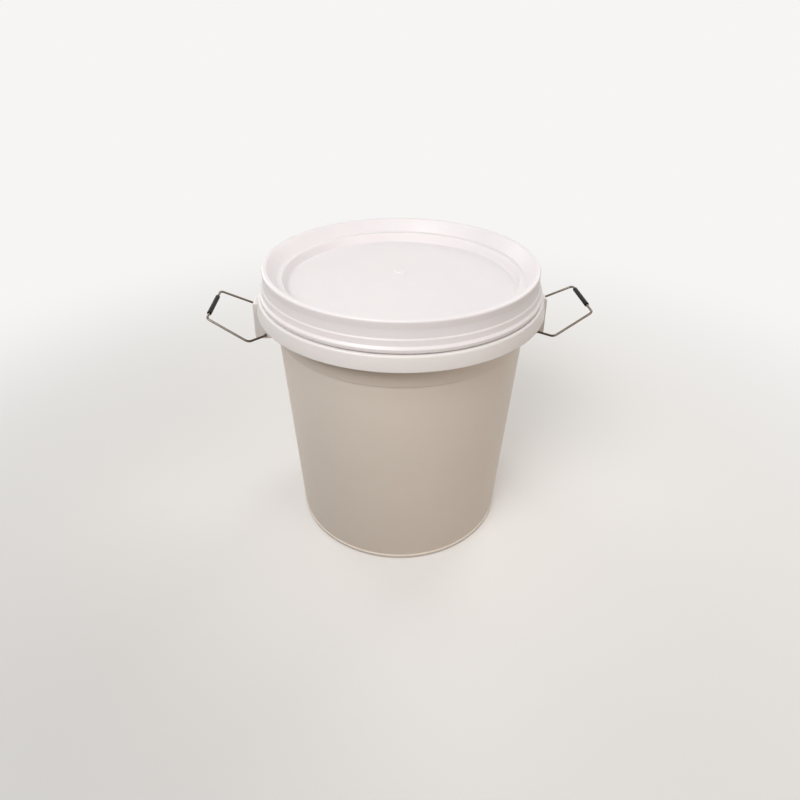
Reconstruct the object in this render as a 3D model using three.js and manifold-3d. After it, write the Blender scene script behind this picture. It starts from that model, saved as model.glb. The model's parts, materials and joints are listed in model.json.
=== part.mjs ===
// A tall white pail with a press-on lid and two small wire handles, one at each side.
// Millimetres, +Z up, origin at the centre of the base. The handles stand on the X axis.

import * as THREE from 'three';
import { mergeVertices } from 'three/addons/utils/BufferGeometryUtils.js';
import Module from 'manifold-3d';

// Body of the pail
const baseRadius = 131.9;        // outside of the wall, carried down to the floor it stands on
const mouthRadius = 142.6;       // outside of the wall at the top of the rim
const rimHeight = 322.8;
const wall = 2.2;
const floorThickness = 2.6;
const footRecess = 4;            // how far the floor is held above the ground
const footWidth = 6;             // standing width of the foot ring
const footBandHeight = 4.6;
const footBandStep = 1.1;        // the foot band stands out from the wall by this much
const floorFillet = 6;
const bandDrop = 64.8;           // the thicker neck band starts this far below the rim's top
const bandStep = 0.9;
const gateRadius = 4;            // moulding gate mark under the floor
const gateDepth = 0.9;

// Collar under the lid
const collarDrop = 20.8;         // its top lies this far below the rim's top
const collarDepth = 15.8;        // from its top to the lower edge of the skirt
const collarOut = 14.8;          // its top reaches this far out from the neck band
const collarFlare = 3.3;         // and its lower edge this much further
const collarWall = 2.1;
const ribCount = 24;
const ribThickness = 1.6;
const ribRise = 2;               // the ribs stop this much above the skirt's lower edge

// Rim that the lid snaps over
const rimBeadOut = 3.2;          // how far the bead stands out from the neck band
const rimBeadDrop = 10.8;        // depth of the bead's foot below the rim's top
const rimBeadTall = 4.4;
const rimBeadSlope = 2.4;
const rimRound = 0.8;

// Lid
const lidWall = 2.2;
const rimTopWidth = 5.2;         // width of the raised rim along its top
const ledgeDrop = 14;            // from the rim's top down to the stacking ledge
const rimSlopeWidth = 9.4;       // the rim slopes in to the ledge over this width
const ledgeWidth = 5.6;
const panelDrop = 11;            // from the ledge down to the flat panel
const panelDraft = 2.2;          // the wall between them leans in by this much
const skirtRoom = 1.5;           // between the rim bead and the inside of the skirt
const skirtStepDrop = 17.2;      // the small step on the skirt's side
const skirtStepOut = 0.9;
const skirtFlare = 1;            // the skirt leans out by this much down to the step
const skirtEdgeFlare = 2;        // and by this much more down to the bead at its edge
const skirtBeadOut = 1.5;
const skirtBeadTall = 4;
const skirtGap = 2;              // between the skirt's lower edge and the collar
const plugDepth = 11;            // the plug ring reaches this far below the pail's rim
const plugWall = 1.8;
const snapTall = 1.6;
const nubRadius = 6;             // gate mark on the lid
const nubHeight = 0.9;
const nubBack = 27;              // it lies this far behind the lid's middle

// Lugs that carry the handles
const lugProud = 6;              // a lug's face stands out from the collar's edge by this much
const lugHalf = 16;
const lugDrop = 11;              // its top lies this far below the collar's top
const lugTall = 44;
const lugLean = 2;               // its outer face leans in by this much at the top
const lugFillet = 3;
const lugWall = 3.2;
const lugFaceWall = 2.6;
const lugRoof = 3.2;             // solid height between its core and the collar's lower edge

// Wire handles and their grips
const pivotInset = 11.9;         // from a lug's outer face in to the line of its holes
const pivotRise = 4.6;           // from its lower edge up to them
const wireRadius = 1.3;
const wireTail = 4;              // what shows of the wire inside the lug
const wireLead = 2;              // it stays on the pivot line this far outside the lug
const shoulderReach = 15.5;      // then slants out to its shoulder
const shoulderHalf = 46.2;       // half the width of the loop there
const bailHalf = 36;             // and half its width at the outer run
const bailReach = 64.3;          // from the pivot line to the outer run
const shoulderBend = 6;
const cornerBend = 5;
const bailTilt = 29.6;           // degrees above level, as the handles stand
const gripLength = 44;
const gripRadius = 2.5;
const gripRound = 0.4;
const gripShiftLeft = 2;         // the grips slide on the wire and are seldom in the middle
const gripShiftRight = 5;

// Fits
const slideFit = 0.3;            // between pieces that slide or seat on each other
const pivotFit = 0.4;            // around the wire in its hole
const gripFit = 0.3;             // around the wire in its grip
const bite = 1;                  // how far joined pieces run into each other

// Facets
const around = 60;
const wireSides = 8;
const wireSteps = 66;
const holeSides = 12;
const gripSides = 16;
const nubSides = 24;

// Sizes of the pail that follow from these
const collarTop = rimHeight - collarDrop;
const collarBottom = collarTop - collarDepth;
const collarTopRadius = neckRadius(collarTop) + collarOut;
const collarEdgeRadius = collarTopRadius + collarFlare;
const rimInner = wallRadius(rimHeight) - wall;
const rimBeadRadius = neckRadius(rimHeight) + rimBeadOut;

// Sizes of the lid, which closes on the pail's rim
const lidRimOuter = rimBeadRadius + skirtRoom + lidWall;
const lidRimInner = lidRimOuter - rimTopWidth;
const ledgeOuter = lidRimInner - rimSlopeWidth;
const ledgeInner = ledgeOuter - ledgeWidth;
const panelRadius = ledgeInner - panelDraft;
const rimSlope = ledgeDrop / rimSlopeWidth;
const slopeThickness = lidWall * Math.hypot(1, rimSlope);
const slopeFit = slideFit * Math.hypot(1, rimSlope);
const seatHeight = rimHeight - rimRound + slopeFit;
const ledgeTop = seatHeight + slopeThickness - rimSlope * (rimInner - ledgeOuter);
const lidTop = ledgeTop + ledgeDrop;
const panelTop = ledgeTop - panelDrop;
const plugRadius = wallRadius(rimHeight - plugDepth) - wall - slideFit;
const snapRadius = rimBeadRadius + slideFit;
const skirtBottom = collarTop + skirtGap;

// Places of the lugs and the pivots in them
const lugRadius = collarEdgeRadius + lugProud;
const lugTop = collarTop - lugDrop;
const lugBottom = lugTop - lugTall;
const pivotRadius = lugRadius - pivotInset;
const pivotHeight = lugBottom + pivotRise;

const wasm = await Module();
wasm.setup();

function wallRadius(z) {
  return baseRadius + (mouthRadius - baseRadius) * z / rimHeight;
}

function neckRadius(z) {
  return wallRadius(z) + bandStep;
}

// An outline from corners [x, y, fillet], each fillet drawn as an arc of a few points.
function outline(corners) {
  const points = [];
  corners.forEach(([x, y, fillet = 0], i) => {
    const corner = new THREE.Vector2(x, y);
    const before = corners[i - 1];
    const after = corners[i + 1];
    if (!fillet || !before || !after) {
      points.push(corner);
      return;
    }
    const toBefore = new THREE.Vector2(before[0], before[1]).sub(corner);
    const toAfter = new THREE.Vector2(after[0], after[1]).sub(corner);
    const half = Math.acos(toBefore.clone().normalize().dot(toAfter.clone().normalize())) / 2;
    const room = 0.48 * Math.min(toBefore.length(), toAfter.length());
    const radius = Math.min(fillet, room * Math.tan(half));
    const start = corner.clone().addScaledVector(toBefore.normalize(), radius / Math.tan(half));
    const end = corner.clone().addScaledVector(toAfter.normalize(), radius / Math.tan(half));
    const middle = toBefore.clone().add(toAfter).normalize().multiplyScalar(radius / Math.sin(half));
    const centre = corner.clone().add(middle);
    const steps = fillet < 1 ? 1 : fillet < 4 ? 2 : 3;
    const from = start.clone().sub(centre).angle();
    const turn = THREE.MathUtils.euclideanModulo(
      end.clone().sub(centre).angle() - from + Math.PI, 2 * Math.PI) - Math.PI;
    for (let step = 0; step <= steps; step++) {
      const angle = from + turn * step / steps;
      points.push(new THREE.Vector2(Math.cos(angle), Math.sin(angle)).multiplyScalar(radius).add(centre));
    }
  });
  return points;
}

// A closed three.js shape as a solid that can be joined and cut.
function solid(geometry) {
  const bare = geometry.index ? geometry.toNonIndexed() : geometry.clone();
  bare.deleteAttribute('normal');
  bare.deleteAttribute('uv');
  const merged = mergeVertices(bare, 1e-4);
  const corners = merged.index.array;
  const kept = [];
  for (let i = 0; i < corners.length; i += 3) {
    const [a, b, c] = [corners[i], corners[i + 1], corners[i + 2]];
    if (a !== b && b !== c && c !== a) kept.push(a, b, c);
  }
  return new wasm.Manifold(new wasm.Mesh({
    numProp: 3,
    vertProperties: new Float32Array(merged.attributes.position.array),
    triVerts: new Uint32Array(kept),
  }));
}

function geometryOf(body) {
  const { vertProperties, triVerts } = body.getMesh();
  const geometry = new THREE.BufferGeometry();
  geometry.setAttribute('position', new THREE.BufferAttribute(vertProperties, 3));
  geometry.setIndex(new THREE.BufferAttribute(triVerts, 1));
  geometry.computeVertexNormals();
  return geometry;
}

// A profile of radius and height turned about the Z axis.
function turned(corners) {
  return solid(new THREE.LatheGeometry(outline(corners), around).rotateX(Math.PI / 2));
}

// A profile of distance from the axis and height, made thick across the X axis.
function across(corners, thickness) {
  const shape = new THREE.Shape(outline(corners));
  const geometry = new THREE.ExtrudeGeometry(shape, { depth: thickness, bevelEnabled: false });
  return solid(geometry.translate(0, 0, -thickness / 2).rotateX(Math.PI / 2));
}

function turnedAbout(body, degrees) {
  return body.rotate([0, 0, degrees]);
}

function pailShell() {
  const footInner = wallRadius(0) - footWidth;
  const floorTop = footRecess + floorThickness;
  const bandBottom = rimHeight - bandDrop;
  const webBottom = collarTop - collarWall;
  const beadFoot = rimHeight - rimBeadDrop;
  const beadBottom = beadFoot + rimBeadSlope;
  const beadTop = beadBottom + rimBeadTall;
  return turned([
    [0, footRecess - gateDepth],
    [gateRadius, footRecess - gateDepth],
    [gateRadius + gateDepth, footRecess],
    [footInner - 1, footRecess, 1],
    [footInner, 0],
    [wallRadius(0) + footBandStep, 0, 1.6],
    [wallRadius(footBandHeight) + footBandStep, footBandHeight],
    [wallRadius(footBandHeight), footBandHeight + footBandStep],
    [wallRadius(bandBottom), bandBottom],
    [neckRadius(bandBottom), bandBottom + bandStep],
    [neckRadius(webBottom), webBottom, 2],
    [collarTopRadius - collarWall, webBottom, 1],
    [collarEdgeRadius - collarWall, collarBottom],
    [collarEdgeRadius, collarBottom, 0.6],
    [collarTopRadius, collarTop, 2.4],
    [neckRadius(collarTop), collarTop, 1],
    [neckRadius(beadFoot), beadFoot],
    [rimBeadRadius, beadBottom, 0.8],
    [rimBeadRadius, beadTop, 1],
    [neckRadius(rimHeight), rimHeight, rimRound],
    [rimInner, rimHeight, rimRound],
    [wallRadius(floorTop) - wall, floorTop, floorFillet],
    [0, floorTop],
  ]);
}

// A web between the neck and the collar's skirt.
function collarRib() {
  const top = collarTop - collarWall / 2;
  const bottom = collarBottom + ribRise;
  const skirtAt = (z) => collarEdgeRadius - collarFlare * (z - collarBottom) / collarDepth;
  return across([
    [neckRadius(bottom) - bite, bottom - ribRise],
    [skirtAt(bottom) - collarWall / 2, bottom],
    [skirtAt(top) - collarWall, top],
    [neckRadius(top) - bite, top],
  ], ribThickness);
}

// A lug with its core and the two holes that take the wire's ends.
function lug() {
  const seat = (z) => wallRadius(z) - wall * 0.7;
  const face = (z) => lugRadius - lugLean * (z - lugBottom) / lugTall;
  const block = across([
    [seat(lugBottom), lugBottom],
    [face(lugBottom), lugBottom, lugFillet],
    [face(lugTop), lugTop, lugFillet],
    [seat(lugTop), lugTop],
  ], 2 * lugHalf);
  const coreTop = collarBottom - lugRoof;
  const core = across([
    [neckRadius(lugBottom) + bite, lugBottom - bite],
    [face(lugBottom) - lugFaceWall, lugBottom - bite],
    [face(coreTop) - lugFaceWall, coreTop, 2],
    [neckRadius(coreTop) + bite, coreTop, 2],
  ], 2 * (lugHalf - lugWall));
  const holeRadius = (wireRadius + pivotFit) / Math.cos(Math.PI / holeSides);
  const hole = new THREE.CylinderGeometry(holeRadius, holeRadius, 2 * (lugHalf + bite), holeSides);
  return block.subtract(core).subtract(solid(hole.translate(pivotRadius, 0, pivotHeight)));
}

function bucket() {
  let body = pailShell();
  for (let i = 0; i < ribCount; i++) {
    body = body.add(turnedAbout(collarRib(), 360 * (i + 0.5) / ribCount));
  }
  for (const degrees of [0, 180]) body = body.add(turnedAbout(lug(), degrees));
  return geometryOf(body);
}

// The lid: plug ring, skirt with its snap ring, raised rim, stacking ledge and panel.
function lid() {
  const underSlope = (r) => ledgeTop + (r - ledgeOuter) * rimSlope - slopeThickness;
  const ceiling = lidTop - lidWall;
  const ceilingInner = ledgeOuter + (ceiling - ledgeTop + slopeThickness) / rimSlope;
  const stepTop = lidTop - skirtStepDrop;
  const sideRadius = lidRimOuter + skirtFlare;
  const edgeRadius = sideRadius + skirtStepOut + skirtEdgeFlare;
  const beadTop = skirtBottom + skirtBeadTall;
  const snapTop = rimHeight - rimBeadDrop + rimBeadSlope - slideFit * 2;
  const plugBottom = rimHeight - plugDepth;
  const cover = turned([
    [0, panelTop - lidWall],
    [panelRadius + lidWall, panelTop - lidWall, 1.5],
    [ledgeInner + lidWall, ledgeTop - lidWall, 1],
    [plugRadius - plugWall, ledgeTop - lidWall, 0.6],
    [plugRadius - plugWall, plugBottom],
    [plugRadius, plugBottom + plugWall],
    [plugRadius, underSlope(plugRadius)],
    [ceilingInner, ceiling],
    [lidRimOuter - lidWall, ceiling, 1],
    [sideRadius - lidWall, snapTop + snapTall * 2],
    [snapRadius, snapTop],
    [snapRadius, snapTop - snapTall],
    [snapRadius + snapTall * 2, beadTop],
    [edgeRadius - lidWall / 2, skirtBottom, 0.6],
    [edgeRadius + skirtBeadOut, skirtBottom, 1],
    [edgeRadius + skirtBeadOut, beadTop, 0.6],
    [edgeRadius, beadTop + skirtBeadOut, 0.6],
    [sideRadius + skirtStepOut, stepTop - skirtStepOut],
    [sideRadius, stepTop],
    [lidRimOuter, lidTop, 2.2],
    [lidRimInner, lidTop, 1.6],
    [ledgeOuter, ledgeTop, 1],
    [ledgeInner, ledgeTop, 1],
    [panelRadius, panelTop, 1.5],
    [0, panelTop],
  ]);
  const nub = new THREE.CylinderGeometry(nubRadius, nubRadius + nubHeight / 2, nubHeight + bite, nubSides);
  nub.rotateX(Math.PI / 2).translate(0, nubBack, panelTop + (nubHeight - bite) / 2);
  return geometryOf(cover.add(solid(nub)));
}

// The wire's middle line in the plane of the loop: x is the reach, y runs along the pivot line.
function bailPath() {
  const path = new THREE.CurvePath();
  const half = [
    [0, lugHalf - lugWall - wireTail],
    [0, lugHalf + wireLead, shoulderBend / 2],
    [shoulderReach, shoulderHalf, shoulderBend],
    [bailReach, bailHalf, cornerBend],
  ];
  const other = half.map(([x, y, bend]) => [x, -y, bend]).reverse();
  const points = [...half, ...other];
  let from = new THREE.Vector3(points[0][0], points[0][1], 0);
  for (let i = 1; i < points.length - 1; i++) {
    const corner = new THREE.Vector3(points[i][0], points[i][1], 0);
    const next = new THREE.Vector3(points[i + 1][0], points[i + 1][1], 0);
    const into = corner.clone().sub(from).normalize();
    const away = next.clone().sub(corner).normalize();
    const cut = points[i][2] * Math.tan(into.angleTo(away) / 2);
    const start = corner.clone().addScaledVector(into, -cut);
    const end = corner.clone().addScaledVector(away, cut);
    path.add(new THREE.LineCurve3(from, start));
    path.add(new THREE.QuadraticBezierCurve3(start, corner, end));
    from = end;
  }
  const last = points[points.length - 1];
  path.add(new THREE.LineCurve3(from, new THREE.Vector3(last[0], last[1], 0)));
  return path;
}

function polygon(radius, sides) {
  const shape = new THREE.Shape();
  for (let i = 0; i < sides; i++) {
    const angle = 2 * Math.PI * (i + 0.5) / sides;
    const step = i ? 'lineTo' : 'moveTo';
    shape[step](radius * Math.cos(angle), radius * Math.sin(angle));
  }
  return shape;
}

function bail() {
  const geometry = new THREE.ExtrudeGeometry(polygon(wireRadius, wireSides), {
    steps: wireSteps,
    extrudePath: bailPath(),
    bevelEnabled: false,
  });
  return geometryOf(solid(geometry));
}

// A sleeve on the outer run, its line along Y.
function grip() {
  const inner = (wireRadius + gripFit) / Math.cos(Math.PI / gripSides);
  const half = gripLength / 2;
  const section = outline([
    [inner, -half],
    [gripRadius - gripRound, -half],
    [gripRadius, gripRound - half],
    [gripRadius, half - gripRound],
    [gripRadius - gripRound, half],
    [inner, half],
    [inner, -half],
  ]);
  return geometryOf(solid(new THREE.LatheGeometry(section, gripSides)));
}

function mesh(name, geometry, color, roughness, metalness) {
  const material = new THREE.MeshStandardMaterial({ color, roughness, metalness });
  const part = new THREE.Mesh(geometry, material);
  part.name = name;
  return part;
}

// A handle: the wire loop and its grip, hung at one lug and tilted up.
function handle(side, turn, gripShift) {
  const wire = mesh(`bail_${side}`, bail(), 0x8f877c, 0.35, 1);
  const sleeve = mesh(`grip_${side}`, grip(), 0x1d1b1a, 0.6, 0);
  sleeve.position.set(bailReach, gripShift, 0);
  const tilted = new THREE.Group();
  tilted.add(wire, sleeve);
  tilted.position.set(pivotRadius, 0, pivotHeight);
  tilted.rotation.y = -THREE.MathUtils.degToRad(bailTilt);
  const placed = new THREE.Group();
  placed.add(tilted);
  placed.rotation.z = turn;
  return placed;
}

const pail = new THREE.Group();
pail.add(
  mesh('bucket', bucket(), 0xd8d0c8, 0.5, 0),
  mesh('lid', lid(), 0xeeeaea, 0.5, 0),
  handle('left', Math.PI, gripShiftLeft),
  handle('right', 0, gripShiftRight),
);

export default pail;
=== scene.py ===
"""A tall white pail with a press-on lid and wire side handles, dressed for rendering."""
import json
import math

import bmesh
import bpy
from mathutils import Matrix, Vector


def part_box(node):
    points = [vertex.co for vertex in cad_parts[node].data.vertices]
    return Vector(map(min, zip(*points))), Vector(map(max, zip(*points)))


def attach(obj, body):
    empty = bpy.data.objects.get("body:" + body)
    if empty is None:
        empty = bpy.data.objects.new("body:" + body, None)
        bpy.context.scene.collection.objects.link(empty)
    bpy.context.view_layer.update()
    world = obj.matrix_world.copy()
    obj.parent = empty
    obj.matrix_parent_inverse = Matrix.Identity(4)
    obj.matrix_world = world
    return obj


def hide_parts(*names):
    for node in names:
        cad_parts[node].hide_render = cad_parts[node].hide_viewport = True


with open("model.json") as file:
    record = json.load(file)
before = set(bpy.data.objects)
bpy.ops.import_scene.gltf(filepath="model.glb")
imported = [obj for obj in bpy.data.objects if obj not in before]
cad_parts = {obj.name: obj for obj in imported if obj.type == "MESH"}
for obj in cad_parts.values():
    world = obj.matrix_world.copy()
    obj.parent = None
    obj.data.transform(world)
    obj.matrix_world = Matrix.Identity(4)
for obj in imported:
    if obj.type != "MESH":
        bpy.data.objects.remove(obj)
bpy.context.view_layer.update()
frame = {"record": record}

bl_info = {
    "name": "Pail with press-on lid",
    "version": (1, 0, 0),
    "blender": (4, 5, 0),
    "location": "3D View > Sidebar > Pail",
    "description": "Builds a moulded pail, its lid and its wire side handles",
    "category": "Add Mesh",
}

MM = 0.001
IMAGE_SIZE = 800            # pixels, across and down the photograph's frame
SENSOR_WIDTH = 36           # millimetres
FINEST_EDGE = 0.35 * MM     # fillet of a corner that is given none
AROUND = 180                # steps round the pail and the lid
SMALL_AROUND = 48           # steps round the gate mark and the sleeves
WIRE_SIDES = 16
CUT_PAST = 1 * MM           # how far one shape runs into another, or a cut past what it cuts
LIGHT_AIM = Vector((0, 0, 0.36))
SKY_TINT = (1, 0.985, 0.965, 1)

# Place in metres, size in metres, colour and spread in degrees of each light
LIGHTS = {
    "key": ((-0.38, -0.62, 1.05), 0.6, (1, 0.99, 0.975), 76),
    "fill": ((1.1, -1, 0.8), 0.8, (1, 0.91, 0.8), 180),
    "back": ((0.9, 1.1, 1.3), 0.8, (1, 0.97, 0.93), 180),
    "rear": ((-1.1, 1.2, 0.75), 0.8, (1, 0.96, 0.91), 180),
}


def joint_place(name):
    """Where a joint of the frame lies, in metres."""
    for joint in frame["record"]["behaviour"]["joints"]:
        if joint["name"] == name:
            return Vector(joint["pos_m"])
    raise RuntimeError(f"the frame has no joint {name}")


PIVOT = joint_place("bail_right_swing")
OUTER_RUN = joint_place("grip_right_spin")


# Sizes and colours that a user would change

def length(label, size, description):
    """A length property, given in millimetres."""
    return bpy.props.FloatProperty(
        name=label, description=description, default=size * MM, unit="LENGTH", precision=4)


def colour(label, code, description):
    """A colour property, given as an sRGB hex value."""
    return bpy.props.FloatVectorProperty(
        name=label, description=description, default=linear(code),
        subtype="COLOR", size=3, min=0, max=1)


def angle(label, degrees, description):
    """An angle property, given in degrees."""
    return bpy.props.FloatProperty(
        name=label, description=description, default=math.radians(degrees), subtype="ANGLE")


def pixels(label, count, description):
    """A property in pixels of the 800 pixel image."""
    return bpy.props.FloatProperty(name=label, description=description, default=count, subtype="PIXEL")


def watts(label, power, description):
    """A light's power."""
    return bpy.props.FloatProperty(name=label, description=description, default=power, unit="POWER")


def linear(code):
    """An sRGB hex value such as C8BFB4 as linear red, green and blue."""
    values = [int(code[i:i + 2], 16) / 255 for i in (0, 2, 4)]
    return tuple(v / 12.92 if v <= 0.04045 else ((v + 0.055) / 1.055) ** 2.4 for v in values)


class PailBodySizes(bpy.types.PropertyGroup):
    """Sizes of the moulded pail."""
    base_radius: length("Base radius", 131.9, "Outside of the wall at the floor")
    mouth_radius: length("Mouth radius", 142.6, "Outside of the wall at the rim")
    rim_height: length("Rim height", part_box("bucket")[1].z / MM, "Height of the rim's top")
    wall: length("Wall", 2.2, "Thickness of the moulded wall")
    floor: length("Floor", 2.6, "Thickness of the floor")
    foot_recess: length("Foot recess", 4, "How far the floor is held above the ground")
    foot_width: length("Foot width", 6, "Standing width of the foot ring")
    foot_band: length("Foot band", 4.6, "Height of the band round the foot")
    foot_step: length("Foot step", 0.8, "How far that band stands out")
    band_drop: length("Neck band drop", 64.8, "From the rim's top down to the neck band's lower edge")
    band_step: length("Neck band step", 0.9, "How far the neck band stands out")
    groove: length("Groove", 0.5, "Depth of the fine grooves under the neck band and over the foot band")
    groove_tall: length("Groove height", 0.9, "Height of those grooves")
    groove_run: length("Groove run", 7, "How far the wall takes to come back out from them")
    collar_drop: length("Collar drop", 20.8, "From the rim's top down to the collar's top")
    collar_depth: length("Collar depth", 15.8, "Height of the collar's skirt")
    collar_out: length("Collar reach", 14.8, "From the neck out to the collar's top edge")
    collar_flare: length("Collar flare", 3.3, "How much further its lower edge reaches")
    collar_wall: length("Collar wall", 2.1, "Thickness of the collar")
    bead_out: length("Rim bead", 3.2, "How far the rim bead stands out from the neck")
    bead_drop: length("Rim bead drop", 10.8, "From the rim's top down to the bead's foot")
    bead_tall: length("Rim bead height", 4.4, "Height of the bead's upright face")
    bead_slope: length("Rim bead slope", 2.4, "Height of the slope under the bead")


class PailLugSizes(bpy.types.PropertyGroup):
    """Sizes of the lugs and ribs that are moulded on the pail."""
    half: length("Half length", 16, "Half a lug's length along the rim")
    proud: length("Proud", 6, "How far its face stands out from the collar's edge")
    drop: length("Drop", 11, "From the collar's top down to the lug's top")
    tall: length("Height", 44, "Height of a lug")
    lean: length("Lean", 2, "How far its face leans in at the top")
    fillet: length("Fillet", 3, "Rounding of its top and bottom edge")
    edge: length("Edge rounding", 1.1, "Rounding of its upright edges")
    end_wall: length("End wall", 3.2, "Thickness of the walls that hold the wire")
    face_wall: length("Face wall", 2.6, "Thickness of its outer wall")
    roof: length("Roof", 3.2, "Solid height above its core")
    hole: length("Hole radius", 1.7, "Radius of the holes for the wire")
    rib: length("Rib", 1.6, "Thickness of a rib under the collar")
    rib_rise: length("Rib rise", 2, "How far the ribs stop above the collar's edge")
    ribs: bpy.props.IntProperty(
        name="Ribs", description="How many ribs stand under the collar", default=24, min=0)


class LidSizes(bpy.types.PropertyGroup):
    """Sizes of the moulded lid."""
    wall: length("Wall", 2.2, "Thickness of the lid")
    rim_width: length("Rim width", 5.2, "Width of the raised rim along its top")
    ledge_drop: length("Ledge drop", 14, "From the rim's top down to the stacking ledge")
    slope_width: length("Slope width", 9.4, "Width over which the rim slopes in to the ledge")
    ledge_width: length("Ledge width", 5.6, "Width of the stacking ledge")
    panel_drop: length("Panel drop", 11, "From the ledge down to the panel")
    panel_draft: length("Panel draft", 2.2, "How far the wall between them leans in")
    skirt_room: length("Skirt room", 1.5, "From the rim bead out to the inside of the skirt")
    step_drop: length("Step drop", 17.2, "From the rim's top down to the step on the skirt")
    step_out: length("Step", 1.2, "How far that step stands out")
    flare: length("Flare", 1, "How far the skirt leans out above the step")
    edge_flare: length("Edge flare", 0.8, "How far it leans out below the step")
    bead_out: length("Edge bead", 2.3, "How far the bead at its edge stands out")
    bead_tall: length("Edge bead height", 4, "Height of that bead")
    waist: length("Waist", 8.6, "Height of the upright band under the rim")
    gap: length("Gap", 1.3, "Between the skirt's edge and the collar")
    plug_depth: length("Plug depth", 11, "How far the plug ring reaches below the pail's rim")
    plug_wall: length("Plug wall", 1.8, "Thickness of the plug ring")
    snap_tall: length("Snap height", 1.6, "Height of the snap ring's inner face")
    nub: length("Gate mark", 6.6, "Radius of the gate mark")
    nub_tall: length("Gate mark height", 1.5, "Height of the gate mark")
    nub_back: length("Gate mark place", 27, "How far it lies behind the lid's middle")
    fit: length("Fit", 0.3, "Clearance between the lid and the pail")


class HandleSizes(bpy.types.PropertyGroup):
    """Sizes of the wire handles and their sleeves."""
    wire: length("Wire radius", 1.3, "Radius of the steel wire")
    tail: length("Tail", 4, "What shows of the wire inside the lug")
    lead: length("Lead", 2, "Straight wire outside the lug")
    shoulder_reach: length("Shoulder reach", 15.5, "From the pivot line out to the shoulder")
    shoulder_half: length("Shoulder half width", 46.2, "Half the loop's width at its shoulders")
    half: length("Half width", 36, "Half the loop's width at its outer run")
    shoulder_bend: length("Shoulder bend", 6, "Inside radius of the shoulder's bend")
    corner_bend: length("Corner bend", 5, "Radius of the outer corners")
    grip_radius: length("Sleeve radius", 2.5, "Outside of the sleeve")
    grip_bore: length("Sleeve bore", 1.6, "Inside of the sleeve")


class PailColours(bpy.types.PropertyGroup):
    """Colours of the pail's materials."""
    # Body is warmer than the collar's white because painted shade and painted warm bounce light are in it;
    # the collar colour is nearer the plastic's own white
    body: colour("Body", "ECE3D9", "Natural white polypropylene of the pail, where its wall is thin")
    collar: colour("Collar", "EAE6E5", "The same where it is thick, on the collar, rim bead and lugs")
    lid: colour("Lid", "EEE9EB", "Opaque white polypropylene of the lid")
    # The wire colour is partly the zinc plating's grey and partly a painted reflection of a brown floor,
    # which makes it darker and warmer
    wire: colour("Wire", "867C71", "Zinc-plated steel wire")
    sleeve: colour("Sleeve", "0C0B0B", "Black polyethylene sleeve")
    floor: colour("Floor", "F6F5F4", "Floor and background, as they are seen")
    bounce: colour("Floor's bounce", "7A5F45", "The floor, as it lights what stands on it")


class StudioSettings(bpy.types.PropertyGroup):
    """The camera, as it stood for the photograph, and the lights."""
    distance: length("Distance", 718.5, "From the camera to the point that it looks at")
    aim_height: length("Aim height", 150, "Height of that point on the pail's axis")
    elevation: angle("Elevation", 34.43, "How far the camera looks down")
    turn: angle("Turn", 3.3, "How far the camera stands to the left of the pail's front")
    roll: angle("Roll", 0.54, "How far the camera leans about its line of sight")
    focal_length: pixels("Focal length", 561.7, "The camera's focal length")
    aim_across: pixels("Aim across", 400, "Where the aim point falls across the image")
    aim_down: pixels("Aim down", 397.3, "Where the aim point falls down the image")
    key: watts("Key light", 1.5, "Power of the narrow light in front on the left")
    fill: watts("Fill light", 4.5, "Power of the light in front on the right")
    back: watts("Back light", 6, "Power of the light behind on the right")
    rear: watts("Rear light", 5, "Power of the low light behind on the left")
    sky: bpy.props.FloatProperty(
        name="Sky", description="Strength of the even light all round", default=0.42)


# Mesh tools

def rounded(corners):
    """An outline through corners (x, y, fillet) in metres, each cut by an arc of short steps."""
    points = []
    for i, corner in enumerate(corners):
        here = Vector(corner[:2])
        if i in (0, len(corners) - 1):
            points.append(here)
            continue
        back = Vector(corners[i - 1][:2]) - here
        ahead = Vector(corners[i + 1][:2]) - here
        fillet = corner[2] if len(corner) > 2 else FINEST_EDGE
        half = back.angle(ahead) / 2
        room = 0.48 * min(back.length, ahead.length)
        radius = min(fillet, room * math.tan(half))
        start = here + back.normalized() * radius / math.tan(half)
        end = here + ahead.normalized() * radius / math.tan(half)
        centre = here + (back.normalized() + ahead.normalized()).normalized() * radius / math.sin(half)
        first, last = start - centre, end - centre
        sweep = math.atan2(first.x * last.y - first.y * last.x, first.dot(last))
        steps = max(2, round(abs(sweep) / math.radians(15)))
        points += [centre + Matrix.Rotation(sweep * k / steps, 2) @ first for k in range(steps + 1)]
    return points


def spin_outline(bm, outline, steps):
    """Turns an outline of radius and height about the Z axis into a closed skin."""
    verts = [bm.verts.new((point.x, 0, point.y)) for point in outline]
    edges = [bm.edges.new(pair) for pair in zip(verts, verts[1:])]
    bmesh.ops.spin(bm, geom=verts + edges, cent=(0, 0, 0), axis=(0, 0, 1),
                   angle=2 * math.pi, steps=steps, use_merge=True)
    bmesh.ops.remove_doubles(bm, verts=bm.verts, dist=1e-6)
    bmesh.ops.recalc_face_normals(bm, faces=bm.faces)


def slab(bm, outline, thickness):
    """Gives an outline of distance and height a thickness across the X axis, and returns its parts."""
    verts = [bm.verts.new((point.x, -thickness / 2, point.y)) for point in outline]
    face = bm.faces.new(verts)
    grown = bmesh.ops.extrude_face_region(bm, geom=[face])["geom"]
    moved = [item for item in grown if isinstance(item, bmesh.types.BMVert)]
    bmesh.ops.translate(bm, verts=moved, vec=(0, thickness, 0))
    parts = verts + moved
    bmesh.ops.recalc_face_normals(bm, faces=list({f for v in parts for f in v.link_faces}))
    return parts


def new_object(name, bm):
    """An object at the origin with the bmesh's shape."""
    mesh = bpy.data.meshes.new(name)
    bm.to_mesh(mesh)
    bm.free()
    piece = bpy.data.objects.new(name, mesh)
    bpy.context.collection.objects.link(piece)
    return piece


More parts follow.
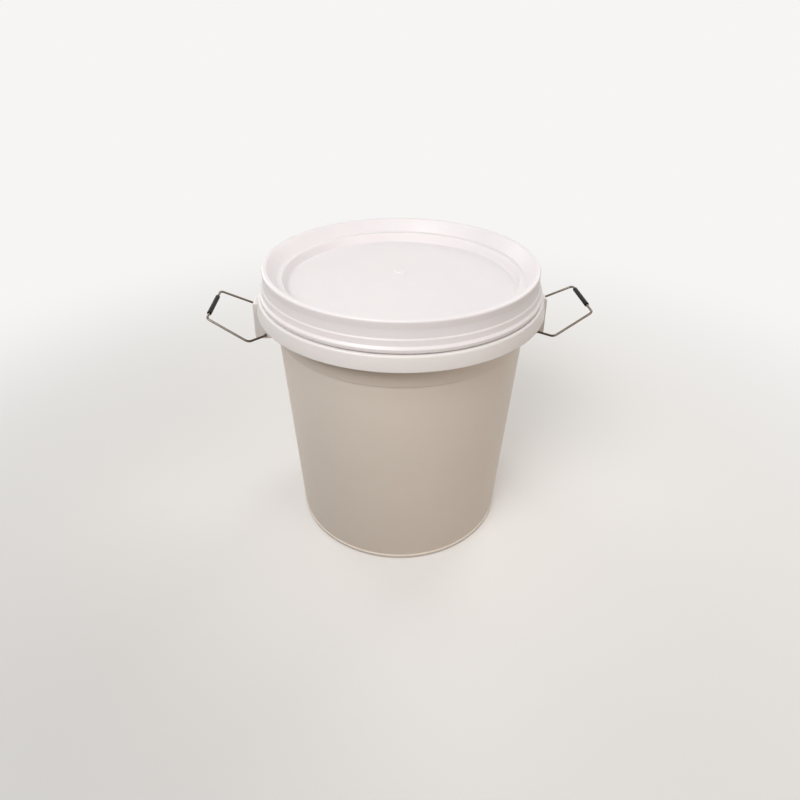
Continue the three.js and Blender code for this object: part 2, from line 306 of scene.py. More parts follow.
def combine(piece, tool, operation):
    """Joins a tool to a piece, or cuts it away, and deletes the tool. Raises if nothing is left."""
    change = piece.modifiers.new(operation.lower(), "BOOLEAN")
    change.operation = operation
    change.object = tool
    change.solver = "EXACT"
    graph = bpy.context.evaluated_depsgraph_get()
    mesh = bpy.data.meshes.new_from_object(piece.evaluated_get(graph))
    if not mesh.polygons:
        raise RuntimeError(f"{operation} left nothing of {piece.name}")
    piece.modifiers.clear()
    piece.data = mesh
    bpy.data.objects.remove(tool)


def finish_piece(piece, material, body, node, sharp=32):
    """Smooths a piece apart from edges of more than sharp degrees, and gives it its material and its
    place in the frame."""
    bm = bmesh.new()
    bm.from_mesh(piece.data)
    for face in bm.faces:
        face.smooth = True
    for edge in bm.edges:
        edge.smooth = len(edge.link_faces) == 2 and edge.calc_face_angle() < math.radians(sharp)
    bm.to_mesh(piece.data)
    bm.free()
    piece.data.materials.clear()
    piece.data.materials.append(material)
    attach(piece, body)
    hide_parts(node)


# Materials

def add_node(tree, kind, inputs=None, **settings):
    """Adds a node, sets its settings, and sets or links its inputs."""
    node = tree.nodes.new(kind)
    for name, value in settings.items():
        setattr(node, name, value)
    for socket, value in (inputs or {}).items():
        if isinstance(value, bpy.types.NodeSocket):
            tree.links.new(value, node.inputs[socket])
        else:
            node.inputs[socket].default_value = value
    return node


def new_material(name):
    """An empty material, its node tree and its output node."""
    material = bpy.data.materials.new(name)
    material.use_nodes = True
    tree = material.node_tree
    tree.nodes.clear()
    return material, tree, tree.nodes.new("ShaderNodeOutputMaterial")


def per(size):
    """A texture scale whose features are about this many millimetres across."""
    return 1 / (size * MM)


def painted_shade_by_radius(tree, place, radius, painted_shade_tint, plain_tint):
    """One tint near the pail's axis, with painted shade and painted warm bounce light in it, and another
    further out than a radius.
    """
    level = add_node(tree, "ShaderNodeVectorMath", {0: place, 1: (1, 1, 0)}, operation="MULTIPLY")
    reach = add_node(tree, "ShaderNodeVectorMath", {0: level.outputs[0]}, operation="LENGTH")
    outside = add_node(tree, "ShaderNodeMapRange", {
        "Value": reach.outputs["Value"], "From Min": radius, "From Max": radius + 1.5 * MM})
    return add_node(tree, "ShaderNodeMix", {
        0: outside.outputs[0], 6: (*painted_shade_tint, 1), 7: (*plain_tint, 1)}, data_type="RGBA").outputs[2]


def moulded_polypropylene(name, tint, roughness, streak, rings, unshaded_tint=None, painted_shade_radius=0):
    """Injection-moulded polypropylene: satin, a little translucent, with faint clouds of colour and the
    fine unevenness of a polished mould. Streak is the strength of the drag lines along the draw, and rings
    that of the turning marks from the mould's plates. Given an unshaded tint, the tint within a radius has
    painted shade and painted warm bounce light in it, and beyond that radius it is the unshaded tint."""
    material, tree, output = new_material(name)
    place = add_node(tree, "ShaderNodeTexCoord").outputs["Object"]
    # Clouds in the colour about 70 mm across and 4.5% deep, where the plastic cooled unevenly
    clouds = add_node(tree, "ShaderNodeTexNoise", {"Vector": place, "Scale": per(70), "Detail": 3})
    # Drag lines 4 mm apart and 90 mm long, along the way the part leaves its mould
    along = add_node(tree, "ShaderNodeMapping", {"Vector": place, "Scale": (per(4), per(4), per(90))})
    drag = add_node(tree, "ShaderNodeTexNoise", {"Vector": along.outputs[0], "Scale": 1, "Detail": 4})
    # Mould texture is about 0.3 mm in life, and drawn at 1.6 mm so that it shows
    grain = add_node(tree, "ShaderNodeTexNoise", {"Vector": place, "Scale": per(1.6), "Detail": 2})
    # Turning rings from the mould plate, 3 mm apart
    wave = add_node(tree, "ShaderNodeTexWave", {
        "Vector": place, "Scale": math.tau / 20 * per(3), "Distortion": 1.2, "Detail": 2},
        wave_type="RINGS", rings_direction="Z")
    # Near the axis the tint has painted shade and painted warm bounce light in it; further out, on the
    # collar, rim bead and lugs, it has none
    own = painted_shade_by_radius(tree, place, painted_shade_radius, tint, unshaded_tint) if unshaded_tint else (*tint, 1)
    dim = add_node(tree, "ShaderNodeMapRange", {"Value": clouds.outputs[0], "To Min": 0.955})
    paint = add_node(tree, "ShaderNodeMix", {0: 1, 6: own, 7: dim.outputs[0]},
                     data_type="RGBA", blend_type="MULTIPLY")
    rough = add_node(tree, "ShaderNodeMapRange", {
        "Value": drag.outputs[0], "To Min": roughness - 0.06, "To Max": roughness + 0.08})
    lines = add_node(tree, "ShaderNodeBump", {
        "Height": drag.outputs[0], "Strength": streak, "Distance": 0.25 * MM})
    turned = add_node(tree, "ShaderNodeBump", {
        "Height": wave.outputs["Fac"], "Strength": rings, "Distance": 0.06 * MM,
        "Normal": lines.outputs[0]})
    fine = add_node(tree, "ShaderNodeBump", {
        "Height": grain.outputs[0], "Strength": 0.35, "Distance": 0.06 * MM, "Normal": turned.outputs[0]})
    shader = add_node(tree, "ShaderNodeBsdfPrincipled", {
        "Base Color": paint.outputs[2], "Roughness": rough.outputs[0], "Normal": fine.outputs[0],
        "IOR": 1.49, "Subsurface Weight": 0.25, "Subsurface Scale": 4 * MM,
        "Subsurface Radius": (1, 0.8, 0.62)})
    tree.links.new(shader.outputs[0], output.inputs[0])
    return material


def zinc_plated_wire(tint):
    """Drawn steel wire with a thin zinc plating: bright, with die lines along it and dull patches."""
    material, tree, output = new_material("zinc-plated drawn steel wire")
    place = add_node(tree, "ShaderNodeTexCoord").outputs["Object"]
    run = add_node(tree, "ShaderNodeAttribute", attribute_name="run")
    turn = add_node(tree, "ShaderNodeAttribute", attribute_name="turn")
    # Die lines are 0.05 mm in life, and drawn 0.5 mm apart and 25 mm long so that they show
    wrap = add_node(tree, "ShaderNodeCombineXYZ", {"X": run.outputs["Fac"], "Y": turn.outputs["Fac"]})
    scaled = add_node(tree, "ShaderNodeMapping", {
        "Vector": wrap.outputs[0], "Scale": (per(25), per(0.5), 1)})
    die = add_node(tree, "ShaderNodeTexNoise", {"Vector": scaled.outputs[0], "Scale": 1, "Detail": 3})
    # Dull patches in the plating, about 6 mm across and down to 62% as bright
    patches = add_node(tree, "ShaderNodeTexNoise", {"Vector": place, "Scale": per(6), "Detail": 4})
    # The tint is the zinc's grey darkened and warmed, as a painted reflection of a brown floor
    tint = (*tint, 1)
    dull = tuple(v * 0.62 for v in tint[:3]) + (1,)
    paint = add_node(tree, "ShaderNodeMix", {0: patches.outputs[0], 6: dull, 7: tint}, data_type="RGBA")
    rough = add_node(tree, "ShaderNodeMapRange", {
        "Value": patches.outputs[0], "To Min": 0.42, "To Max": 0.2})
    lines = add_node(tree, "ShaderNodeBump", {
        "Height": die.outputs[0], "Strength": 0.5, "Distance": 0.04 * MM})
    shader = add_node(tree, "ShaderNodeBsdfPrincipled", {
        "Base Color": paint.outputs[2], "Roughness": rough.outputs[0], "Normal": lines.outputs[0],
        "Metallic": 1})
    tree.links.new(shader.outputs[0], output.inputs[0])
    return material


def black_sleeve(tint):
    """Extruded black polyethylene tube: dull black, with rubbed patches that are greyer and smoother."""
    material, tree, output = new_material("extruded black polyethylene")
    place = add_node(tree, "ShaderNodeTexCoord").outputs["Object"]
    # Rubbed patches about 9 mm across
    rubbed = add_node(tree, "ShaderNodeTexNoise", {"Vector": place, "Scale": per(9), "Detail": 5})
    # Extrusion grain, drawn 0.8 mm across
    grain = add_node(tree, "ShaderNodeTexNoise", {"Vector": place, "Scale": per(0.8), "Detail": 3})
    tint = (*tint, 1)
    grey = tuple(v + 0.005 for v in tint[:3]) + (1,)
    paint = add_node(tree, "ShaderNodeMix", {0: rubbed.outputs[0], 6: tint, 7: grey}, data_type="RGBA")
    rough = add_node(tree, "ShaderNodeMapRange", {
        "Value": rubbed.outputs[0], "To Min": 0.62, "To Max": 0.42})
    fine = add_node(tree, "ShaderNodeBump", {
        "Height": grain.outputs[0], "Strength": 0.5, "Distance": 0.08 * MM})
    shader = add_node(tree, "ShaderNodeBsdfPrincipled", {
        "Base Color": paint.outputs[2], "Roughness": rough.outputs[0], "Normal": fine.outputs[0],
        "IOR": 1.5, "Specular IOR Level": 0.2})
    tree.links.new(shader.outputs[0], output.inputs[0])
    return material


def seen_directly(tree):
    """1 for what the camera sees, also in metal, and 0 for what only lights other things."""
    path = add_node(tree, "ShaderNodeLightPath").outputs
    glossy = add_node(tree, "ShaderNodeMath", {
        0: path["Is Camera Ray"], 1: path["Is Glossy Ray"]}, operation="MAXIMUM")
    clear = add_node(tree, "ShaderNodeMath", {
        0: glossy.outputs[0], 1: path["Is Transmission Ray"]}, operation="MAXIMUM")
    return clear.outputs[0]


def painted_board(tint, bounce):
    """Matt painted board with a faint roller texture. It looks pale, turns into an even background away
    from the pail, and lights the pail as a darker and warmer board would."""
    material, tree, output = new_material("matt painted board")
    place = add_node(tree, "ShaderNodeTexCoord").outputs["Object"]
    seen = seen_directly(tree)
    # Roller texture about 5 mm across
    roller = add_node(tree, "ShaderNodeTexNoise", {"Vector": place, "Scale": per(5), "Detail": 2})
    fine = add_node(tree, "ShaderNodeBump", {
        "Height": roller.outputs[0], "Strength": 0.1, "Distance": 0.1 * MM})
    paint = add_node(tree, "ShaderNodeMix", {0: seen, 6: (*bounce, 1), 7: (*tint, 1)}, data_type="RGBA")
    board = add_node(tree, "ShaderNodeBsdfPrincipled", {
        "Base Color": paint.outputs[2], "Roughness": 0.85, "Normal": fine.outputs[0],
        "Specular IOR Level": 0.2})
    # The board fades into the background between 0.3 m and 1.1 m from the pail's axis
    away = add_node(tree, "ShaderNodeVectorMath", {0: place}, operation="LENGTH")
    fade = add_node(tree, "ShaderNodeMapRange", {
        "Value": away.outputs["Value"], "From Min": 0.3, "From Max": 1.1}, interpolation_type="SMOOTHSTEP")
    shown = add_node(tree, "ShaderNodeMath", {0: fade.outputs[0], 1: seen}, operation="MULTIPLY")
    even = add_node(tree, "ShaderNodeEmission", {"Color": (*tint, 1)})
    mixed = add_node(tree, "ShaderNodeMixShader", {
        0: shown.outputs[0], 1: board.outputs[0], 2: even.outputs[0]})
    tree.links.new(mixed.outputs[0], output.inputs[0])
    return material


# The pail

def wall_radius(sizes, height):
    """Outside of the pail's tapered wall."""
    return sizes.base_radius + (sizes.mouth_radius - sizes.base_radius) * height / sizes.rim_height


def neck_radius(sizes, height):
    """Outside of the thicker band round the neck."""
    return wall_radius(sizes, height) + sizes.band_step


def collar_levels(sizes):
    """Top and bottom of the collar, and its radius at each."""
    top = sizes.rim_height - sizes.collar_drop
    top_radius = neck_radius(sizes, top) + sizes.collar_out
    return top, top - sizes.collar_depth, top_radius, top_radius + sizes.collar_flare


def pail_outline(sizes):
    """Half the pail's section, from the middle of the floor's underside round to its upper side."""
    rim = sizes.rim_height
    foot_inner = wall_radius(sizes, 0) - sizes.foot_width
    floor_top = sizes.foot_recess + sizes.floor
    foot_wall = wall_radius(sizes, sizes.foot_band)
    band_bottom = rim - sizes.band_drop
    band_wall = wall_radius(sizes, band_bottom)
    top, bottom, top_radius, edge_radius = collar_levels(sizes)
    web = top - sizes.collar_wall
    bead_foot = rim - sizes.bead_drop
    bead_bottom = bead_foot + sizes.bead_slope
    bead_radius = neck_radius(sizes, rim) + sizes.bead_out
    gate, gate_depth = 4 * MM, 0.9 * MM
    foot_draft = 1 * MM
    return rounded([
        (0, sizes.foot_recess - gate_depth),
        (gate, sizes.foot_recess - gate_depth),
        (gate + gate_depth, sizes.foot_recess),
        (foot_inner - foot_draft, sizes.foot_recess, 1 * MM),
        (foot_inner, 0),
        (wall_radius(sizes, 0) + sizes.foot_step, 0, 1.8 * MM),
        (foot_wall + sizes.foot_step, sizes.foot_band, 0.8 * MM),
        (foot_wall - sizes.groove, sizes.foot_band, 0.2 * MM),
        (foot_wall - sizes.groove, sizes.foot_band + sizes.groove_tall, 0.3 * MM),
        (foot_wall, sizes.foot_band + sizes.groove_run, 8 * MM),
        (band_wall, band_bottom - sizes.groove_run, 8 * MM),
        (band_wall - sizes.groove, band_bottom - sizes.groove_tall, 0.3 * MM),
        (band_wall - sizes.groove, band_bottom, 0.2 * MM),
        (neck_radius(sizes, band_bottom), band_bottom, 0.25 * MM),
        (neck_radius(sizes, web), web, 2 * MM),
        (top_radius - sizes.collar_wall, web, 1 * MM),
        (edge_radius - sizes.collar_wall, bottom, 0.5 * MM),
        (edge_radius, bottom, 0.8 * MM),
        (top_radius, top, 2.4 * MM),
        (neck_radius(sizes, top), top, 1.2 * MM),
        (neck_radius(sizes, bead_foot), bead_foot, 1 * MM),
        (bead_radius, bead_bottom, 0.8 * MM),
        (bead_radius, bead_bottom + sizes.bead_tall, 1.2 * MM),
        (neck_radius(sizes, rim), rim, 0.8 * MM),
        (wall_radius(sizes, rim) - sizes.wall, rim, 0.8 * MM),
        (wall_radius(sizes, floor_top) - sizes.wall, floor_top, 6 * MM),
        (0, floor_top),
    ])


def add_ribs(bm, sizes, lugs):
    """The ring of ribs between the neck and the collar's skirt."""
    top, bottom, top_radius, edge_radius = collar_levels(sizes)
    high = top - sizes.collar_wall / 2
    low = bottom + lugs.rib_rise
    for i in range(lugs.ribs):
        verts = slab(bm, [
            Vector((neck_radius(sizes, low) - CUT_PAST, low - lugs.rib_rise)),
            Vector((edge_radius - sizes.collar_wall / 2 - 0.4 * MM, low)),
            Vector((top_radius - sizes.collar_wall, high)),
            Vector((neck_radius(sizes, high) - CUT_PAST, high)),
        ], lugs.rib)
        turn = Matrix.Rotation(math.tau * (i + 0.5) / lugs.ribs, 3, "Z")
        bmesh.ops.rotate(bm, verts=verts, cent=(0, 0, 0), matrix=turn)


def lug_levels(sizes, lugs):
    """Radius of a lug's outer face, and its top and bottom."""
    top, _, _, edge_radius = collar_levels(sizes)
    high = top - lugs.drop
    return edge_radius + lugs.proud, high, high - lugs.tall


def lug_block(sizes, lugs):
    """A lug's outer form at the +X side, its edges rounded."""
    face, high, low = lug_levels(sizes, lugs)
    seat = 0.7 * sizes.wall     # how deep its back lies in the pail's wall
    clear_of_wall = sizes.mouth_radius + 4 * MM
    bm = bmesh.new()
    slab(bm, rounded([
        (wall_radius(sizes, low) - seat, low),
        (face, low, lugs.fillet),
        (face - lugs.lean, high, lugs.fillet),
        (wall_radius(sizes, high) - seat, high),
    ]), 2 * lugs.half)
    ends = [edge for edge in bm.edges
            if abs(edge.verts[0].co.y - edge.verts[1].co.y) < 1e-7
            and max(vert.co.x for vert in edge.verts) > clear_of_wall]
    bmesh.ops.bevel(bm, geom=ends, offset=lugs.edge, offset_type="OFFSET", segments=4, profile=0.5,
                    affect="EDGES", clamp_overlap=True, material=-1)
    return new_object("lug", bm)


def lug_hollow(sizes, lugs):
    """What is taken out of a lug: its core, open below, and the hole for the wire."""
    face, _, low = lug_levels(sizes, lugs)
    core_top = collar_levels(sizes)[1] - lugs.roof
    neck_wall = 1 * MM          # what stays on the neck behind the core
    ajar = 0.1 * MM             # the outline stops this short of its start, so its last corner is rounded
    bm = bmesh.new()
    slab(bm, rounded([
        (neck_radius(sizes, low) + neck_wall, low - CUT_PAST),
        (face - lugs.face_wall, low - CUT_PAST),
        (face - lugs.face_wall - lugs.lean / 2, core_top, 2 * MM),
        (neck_radius(sizes, core_top) + neck_wall, core_top, 2 * MM),
        (neck_radius(sizes, low) + neck_wall, low - CUT_PAST + ajar),
    ]), 2 * (lugs.half - lugs.end_wall))
    hole = bmesh.ops.create_cone(bm, cap_ends=True, segments=32, radius1=lugs.hole, radius2=lugs.hole,
                                 depth=2 * (lugs.half + CUT_PAST))["verts"]
    bmesh.ops.rotate(bm, verts=hole, cent=(0, 0, 0), matrix=Matrix.Rotation(math.pi / 2, 3, "X"))
    bmesh.ops.translate(bm, verts=hole, vec=(PIVOT.x, 0, PIVOT.z))
    return new_object("lug hollow", bm)


class PAIL_OT_bucket(bpy.types.Operator):
    """Build the pail: a spun shell with its collar, ribs and lugs"""
    bl_idname = "pail.bucket"
    bl_label = "Pail"

    def execute(self, context):
        sizes = context.scene.pail_body
        lugs = context.scene.pail_lugs
        bm = bmesh.new()
        spin_outline(bm, pail_outline(sizes), AROUND)
        piece = new_object("pail", bm)
        bm = bmesh.new()
        add_ribs(bm, sizes, lugs)
        combine(piece, new_object("ribs", bm), "UNION")
        for turn in (0, math.pi):
            block = lug_block(sizes, lugs)
            combine(block, lug_hollow(sizes, lugs), "DIFFERENCE")
            block.data.transform(Matrix.Rotation(turn, 4, "Z"))
            combine(piece, block, "UNION")
        colours = context.scene.pail_colours
        # The wall's body tint carries painted shade under the collar and painted warm floor bounce; the
        # collar tint, beyond the neck, carries none
        material = moulded_polypropylene(
            "natural white moulded polypropylene", colours.body, 0.42, 0.25, 0,
            unshaded_tint=colours.collar, painted_shade_radius=neck_radius(sizes, sizes.rim_height) + 0.5 * MM)
        finish_piece(piece, material, "bucket", "bucket")
        return {"FINISHED"}


# The lid

def lid_outline(body, lid):
    """Half the lid's section, from the middle of its underside round to the middle of its top."""
    rim = body.rim_height
    rim_inner = wall_radius(body, rim) - body.wall
    bead_radius = neck_radius(body, rim) + body.bead_out
    outer = bead_radius + lid.skirt_room + lid.wall
    inner = outer - lid.rim_width
    ledge_outer = inner - lid.slope_width
    ledge_inner = ledge_outer - lid.ledge_width
    panel = ledge_inner - lid.panel_draft
    slope = lid.ledge_drop / lid.slope_width
    thickness = lid.wall * math.hypot(1, slope)
    seat = rim - 0.8 * MM + lid.fit * math.hypot(1, slope)
    ledge = seat + thickness - slope * (rim_inner - ledge_outer)
    top = ledge + lid.ledge_drop
    panel_top = ledge - lid.panel_drop
    plug = wall_radius(body, rim - lid.plug_depth) - body.wall - lid.fit
    under_slope = ledge + (plug - ledge_outer) * slope - thickness
    ceiling = top - lid.wall
    ceiling_inner = ledge_outer + (ceiling - ledge + thickness) / slope
    step = top - lid.step_drop
    side = outer + lid.flare
    edge = side + lid.step_out + lid.edge_flare
    skirt = rim - body.collar_drop + lid.gap
    bead_top = skirt + lid.bead_tall
    snap = bead_radius + lid.fit
    snap_top = rim - body.bead_drop + body.bead_slope - 2 * lid.fit
    plug_bottom = rim - lid.plug_depth
    return rounded([
        (0, panel_top - lid.wall),
        (panel + lid.wall, panel_top - lid.wall, 1.5 * MM),
        (ledge_inner + lid.wall, ledge - lid.wall, 1 * MM),
        (plug - lid.plug_wall, ledge - lid.wall, 0.6 * MM),
        (plug - lid.plug_wall, plug_bottom, 0.3 * MM),
        (plug, plug_bottom + lid.plug_wall, 0.5 * MM),
        (plug, under_slope, 0.5 * MM),
        (ceiling_inner, ceiling, 0.5 * MM),
        (outer - lid.wall, ceiling, 1 * MM),
        (side - lid.wall, snap_top + 2 * lid.snap_tall, 0.5 * MM),
        (snap, snap_top, 0.4 * MM),
        (snap, snap_top - lid.snap_tall, 0.4 * MM),
        (snap + 2 * lid.snap_tall, bead_top, 0.5 * MM),
        (edge - lid.wall / 2, skirt, 0.6 * MM),
        (edge + lid.bead_out, skirt, 1.1 * MM),
        (edge + lid.bead_out, bead_top, 0.9 * MM),
        (edge, bead_top + lid.bead_out, 0.8 * MM),
        (side + lid.step_out, step - lid.step_out, 0.35 * MM),
        (side + 0.2 * MM, step + 0.2 * MM, 0.35 * MM),
        (outer, top - lid.waist, 4 * MM),
        (outer, top, 2.2 * MM),
        (inner, top, 1.8 * MM),
        (ledge_outer, ledge, 1.2 * MM),
        (ledge_inner, ledge, 1.2 * MM),
        (panel, panel_top, 2 * MM),
        (0, panel_top),
    ])


def gate_mark(lid, panel_top):
    """The low round mark that the mould's gate leaves on the panel, with a dimple in its middle."""
    sunk = 0.5 * MM             # how far it runs into the panel
    dimple, dimple_depth = 1.2 * MM, 0.5 * MM
    bm = bmesh.new()
    spin_outline(bm, rounded([
        (0, -sunk),
        (lid.nub + lid.nub_tall / 2, -sunk),
        (lid.nub, lid.nub_tall, 0.6 * MM),
        (dimple, lid.nub_tall, 0.3 * MM),
        (0, lid.nub_tall - dimple_depth),
    ]), SMALL_AROUND)
    bmesh.ops.translate(bm, verts=bm.verts, vec=(0, lid.nub_back, panel_top))
    return new_object("gate mark", bm)


class PAIL_OT_lid(bpy.types.Operator):
    """Build the lid: panel, stacking ledge, raised rim, skirt with its snap ring, and plug ring"""
    bl_idname = "pail.lid"
    bl_label = "Lid"

    def execute(self, context):
        lid = context.scene.pail_lid
        outline = lid_outline(context.scene.pail_body, lid)
        bm = bmesh.new()
        spin_outline(bm, outline, AROUND)
        piece = new_object("press_on_lid", bm)
        combine(piece, gate_mark(lid, outline[-1].y), "UNION")
        tint = context.scene.pail_colours.lid
        material = moulded_polypropylene("opaque white moulded polypropylene", tint, 0.36, 0.05, 0.35)
        finish_piece(piece, material, "lid", "lid")
        return {"FINISHED"}


# The handles

def stamp(verts, run_layer, turn_layer, run, radius):
    """Notes on each vertex of a ring how far along the wire and how far round it lies."""
    for k, vert in enumerate(verts):
        vert[run_layer] = run
        vert[turn_layer] = radius * math.tau * k / len(verts)


def bend_wire(bm, corners, radius):
    """Runs a round wire through corners (x, y, bend radius) in the XY plane: straight stretches are
    extruded, and bends are spun about their own centres."""
    run_layer = bm.verts.layers.float.new("run")
    turn_layer = bm.verts.layers.float.new("turn")
    points = [Vector((*corner[:2], 0)) for corner in corners]
    ring = bmesh.ops.create_circle(bm, cap_ends=True, segments=WIRE_SIDES, radius=radius)["verts"]
    heading = (points[1] - points[0]).normalized()
    turn = Vector((0, 0, 1)).rotation_difference(heading).to_matrix()
    bmesh.ops.rotate(bm, verts=ring, cent=(0, 0, 0), matrix=turn)
    bmesh.ops.translate(bm, verts=ring, vec=points[0])
    run, at = 0, points[0]
    stamp(ring, run_layer, turn_layer, run, radius)

    def grow(shape):
        """Spins or moves a copy of the last ring, and makes it the last ring."""
        nonlocal ring
        edges = [edge for edge in bm.edges if edge.verts[0] in ring and edge.verts[1] in ring]
        order = {vert: k for k, vert in enumerate(ring)}
        new = bmesh.ops.extrude_edge_only(bm, edges=edges)["geom"]
        fresh = [item for item in new if isinstance(item, bmesh.types.BMVert)]
        partner = {vert: order[other] for vert in fresh for edge in vert.link_edges
                   for other in edge.verts if other in order}
        ring = sorted(fresh, key=partner.get)
        shape(ring)
        stamp(ring, run_layer, turn_layer, run, radius)

    for i in range(1, len(points)):
        last = i == len(points) - 1
        bend = 0 if last else corners[i][2]
        away = heading if last else (points[i + 1] - points[i]).normalized()
        sweep = heading.angle(away)
        side = 1 if heading.cross(away).z > 0 else -1
        cut = bend * math.tan(sweep / 2)
        start = points[i] - heading * cut
        step = start - at
        run += step.length
        grow(lambda verts: bmesh.ops.translate(bm, verts=verts, vec=step))
        if last:
            break
        centre = start + Vector((-heading.y, heading.x, 0)) * side * bend
        count = max(4, round(math.degrees(sweep) / 9))
        spin = Matrix.Rotation(side * sweep / count, 3, "Z")
        for k in range(count):
            run += bend * sweep / count
            grow(lambda verts: bmesh.ops.rotate(bm, verts=verts, cent=centre, matrix=spin))
        at = points[i] + away * cut
        heading = away
    bmesh.ops.contextual_create(bm, geom=ring)
    bmesh.ops.recalc_face_normals(bm, faces=bm.faces)


def handle_place(side):
    """Turns a handle from its flat drawing to its place at a lug."""
    reach = OUTER_RUN - PIVOT
    tilt = Matrix.Rotation(-math.atan2(reach.z, reach.x), 4, "Y")
    right = Matrix.Translation((PIVOT.x, 0, PIVOT.z)) @ tilt
    return right if side == "right" else Matrix.Rotation(math.pi, 4, "Z") @ right


def wire_loop(lugs, sizes):
    """The wire of one handle, flat: reach along X, the pivot line along Y."""
    reach = (OUTER_RUN - PIVOT).length
    half = [
        (0, lugs.half - lugs.end_wall - sizes.tail, 0),
        (0, lugs.half + sizes.lead, sizes.shoulder_bend / 2),
        (sizes.shoulder_reach, sizes.shoulder_half, sizes.shoulder_bend),
        (reach, sizes.half, sizes.corner_bend),
    ]
    other = [(x, -y, bend) for x, y, bend in reversed(half)]
    bm = bmesh.new()
    bend_wire(bm, half + other, sizes.wire)
    return bm


def sleeve(sizes, low, high):
    """A sleeve round the outer run between two places along Y."""
    reach = (OUTER_RUN - PIVOT).length
    half = (high - low) / 2
    bm = bmesh.new()
    outline = rounded([
        (sizes.grip_bore, 0),
        (sizes.grip_bore, -half, 0.3 * MM),
        (sizes.grip_radius, -half, 0.9 * MM),
        (sizes.grip_radius, half, 0.9 * MM),
        (sizes.grip_bore, half, 0.3 * MM),
        (sizes.grip_bore, 0),
    ])
    spin_outline(bm, outline, SMALL_AROUND)
    bmesh.ops.rotate(bm, verts=bm.verts, cent=(0, 0, 0), matrix=Matrix.Rotation(math.pi / 2, 3, "X"))
    bmesh.ops.translate(bm, verts=bm.verts, vec=(reach, (low + high) / 2, 0))
    return bm


class PAIL_OT_handles(bpy.types.Operator):
    """Build both handles: a bent steel wire and its black sleeve"""
    bl_idname = "pail.handles"
    bl_label = "Handles"

    def execute(self, context):
        sizes = context.scene.pail_handles
        colours = context.scene.pail_colours
        steel = zinc_plated_wire(colours.wire)
        black = black_sleeve(colours.sleeve)
        for side in ("left", "right"):
            place = handle_place(side)
            wire = new_object(f"wire_{side}", wire_loop(context.scene.pail_lugs, sizes))
            wire.data.transform(place)
            finish_piece(wire, steel, f"bail_{side}", f"bail_{side}", 50)
            low, high = (corner.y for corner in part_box(f"grip_{side}"))
            if side == "left":
                low, high = -high, -low
            grip = new_object(f"sleeve_{side}", sleeve(sizes, low, high))
            grip.data.transform(place)
            finish_piece(grip, black, f"grip_{side}", f"grip_{side}", 50)
        return {"FINISHED"}


# The studio

def add_floor(colours):
    """A wide level floor under the pail."""
    bm = bmesh.new()
    bmesh.ops.create_circle(bm, cap_ends=True, segments=96, radius=6)
    floor = new_object("floor", bm)
    floor.data.materials.append(painted_board(colours.floor, colours.bounce))


def add_area_light(name, power):
    """One of the square soft lights, pointed at the pail's top."""
    place, size, tint, spread = LIGHTS[name]
    lamp = bpy.data.lights.new(name, "AREA")
    lamp.size = size
    lamp.spread = math.radians(spread)
    lamp.energy = power
    lamp.color = tint
    light = bpy.data.objects.new(name, lamp)
    light.location = place
    aim = LIGHT_AIM - Vector(place)
    light.rotation_euler = aim.to_track_quat("-Z", "Y").to_euler()
    bpy.context.collection.objects.link(light)


def add_sky(colours, strength):
    """Even light all round, which looks like the floor where it is seen."""
    world = bpy.data.worlds.new("even sky")
    world.use_nodes = True
    tree = world.node_tree
    tree.nodes.clear()
    seen = seen_directly(tree)
    light = add_node(tree, "ShaderNodeBackground", {"Color": SKY_TINT, "Strength": strength})
    view = add_node(tree, "ShaderNodeBackground", {"Color": (*colours.floor, 1)})
    mixed = add_node(tree, "ShaderNodeMixShader", {0: seen, 1: light.outputs[0], 2: view.outputs[0]})
    output = tree.nodes.new("ShaderNodeOutputWorld")
    tree.links.new(mixed.outputs[0], output.inputs[0])
    bpy.context.scene.world = world


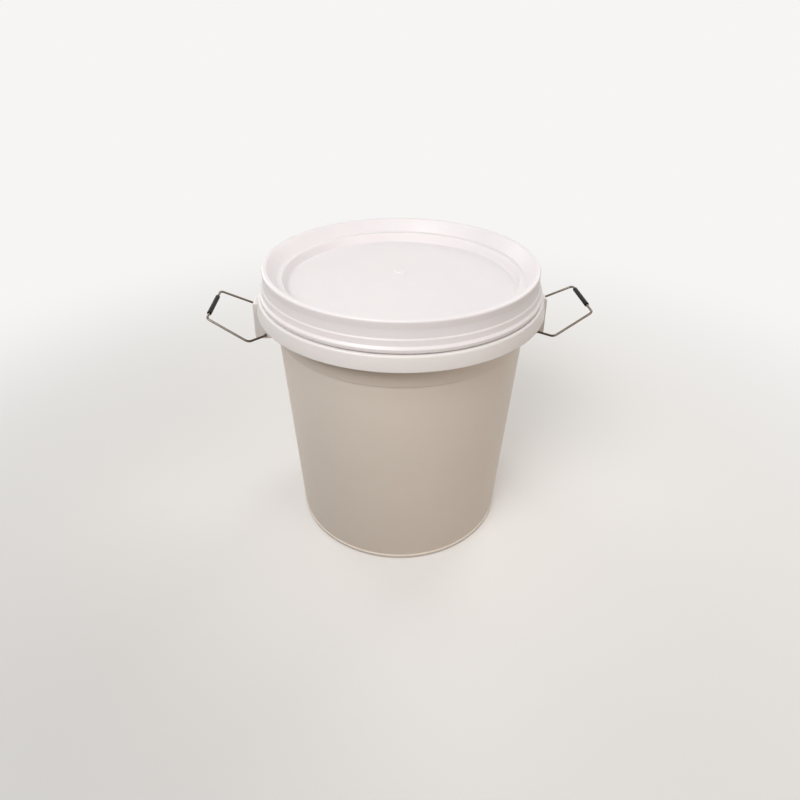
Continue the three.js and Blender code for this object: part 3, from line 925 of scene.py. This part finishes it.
def add_camera(studio):
    """The photograph's camera."""
    data = bpy.data.cameras.new("camera")
    data.sensor_width = SENSOR_WIDTH
    data.lens = SENSOR_WIDTH * studio.focal_length / IMAGE_SIZE
    data.shift_x = (IMAGE_SIZE / 2 - studio.aim_across) / IMAGE_SIZE
    data.shift_y = (studio.aim_down - IMAGE_SIZE / 2) / IMAGE_SIZE
    camera = bpy.data.objects.new("camera", data)
    out = Vector((0, -math.cos(studio.elevation), math.sin(studio.elevation)))
    place = Matrix.Rotation(-studio.turn, 3, "Z") @ out * studio.distance
    camera.location = place + Vector((0, 0, studio.aim_height))
    facing = (-place).to_track_quat("-Z", "Y").to_matrix()
    camera.rotation_euler = (facing @ Matrix.Rotation(studio.roll, 3, "Z")).to_euler()
    bpy.context.collection.objects.link(camera)
    bpy.context.scene.camera = camera


class PAIL_OT_studio(bpy.types.Operator):
    """Build the floor, the lights and the camera"""
    bl_idname = "pail.studio"
    bl_label = "Studio"

    def execute(self, context):
        studio = context.scene.pail_studio
        context.scene.view_settings.view_transform = "Standard"
        add_floor(context.scene.pail_colours)
        for name in LIGHTS:
            add_area_light(name, getattr(studio, name))
        add_sky(context.scene.pail_colours, studio.sky)
        add_camera(studio)
        return {"FINISHED"}


class PAIL_PT_panel(bpy.types.Panel):
    """Lists the pail's operators and sizes"""
    bl_idname = "PAIL_PT_panel"
    bl_label = "Pail"
    bl_space_type = "VIEW_3D"
    bl_region_type = "UI"
    bl_category = "Pail"

    def draw(self, context):
        for operator in OPERATORS:
            self.layout.operator(operator.bl_idname)
        for name in GROUPS:
            group = getattr(context.scene, name)
            box = self.layout.box()
            for field in group.bl_rna.properties.keys():
                if field not in ("rna_type", "name"):
                    box.prop(group, field)


GROUPS = {
    "pail_body": PailBodySizes,
    "pail_lugs": PailLugSizes,
    "pail_lid": LidSizes,
    "pail_handles": HandleSizes,
    "pail_colours": PailColours,
    "pail_studio": StudioSettings,
}
OPERATORS = (PAIL_OT_bucket, PAIL_OT_lid, PAIL_OT_handles, PAIL_OT_studio)
CLASSES = (*GROUPS.values(), *OPERATORS, PAIL_PT_panel)


def register():
    """Makes the groups, operators and panel known, and hangs the groups on the scene."""
    for item in CLASSES:
        bpy.utils.register_class(item)
    for name, group in GROUPS.items():
        setattr(bpy.types.Scene, name, bpy.props.PointerProperty(type=group))


def unregister():
    """Takes away what register made."""
    for name in GROUPS:
        delattr(bpy.types.Scene, name)
    for item in reversed(CLASSES):
        bpy.utils.unregister_class(item)


def main():
    """Makes the add-on known, and builds everything."""
    register()
    bpy.ops.pail.studio()
    bpy.ops.pail.bucket()
    bpy.ops.pail.lid()
    bpy.ops.pail.handles()


if __name__ == "__main__":
    main()
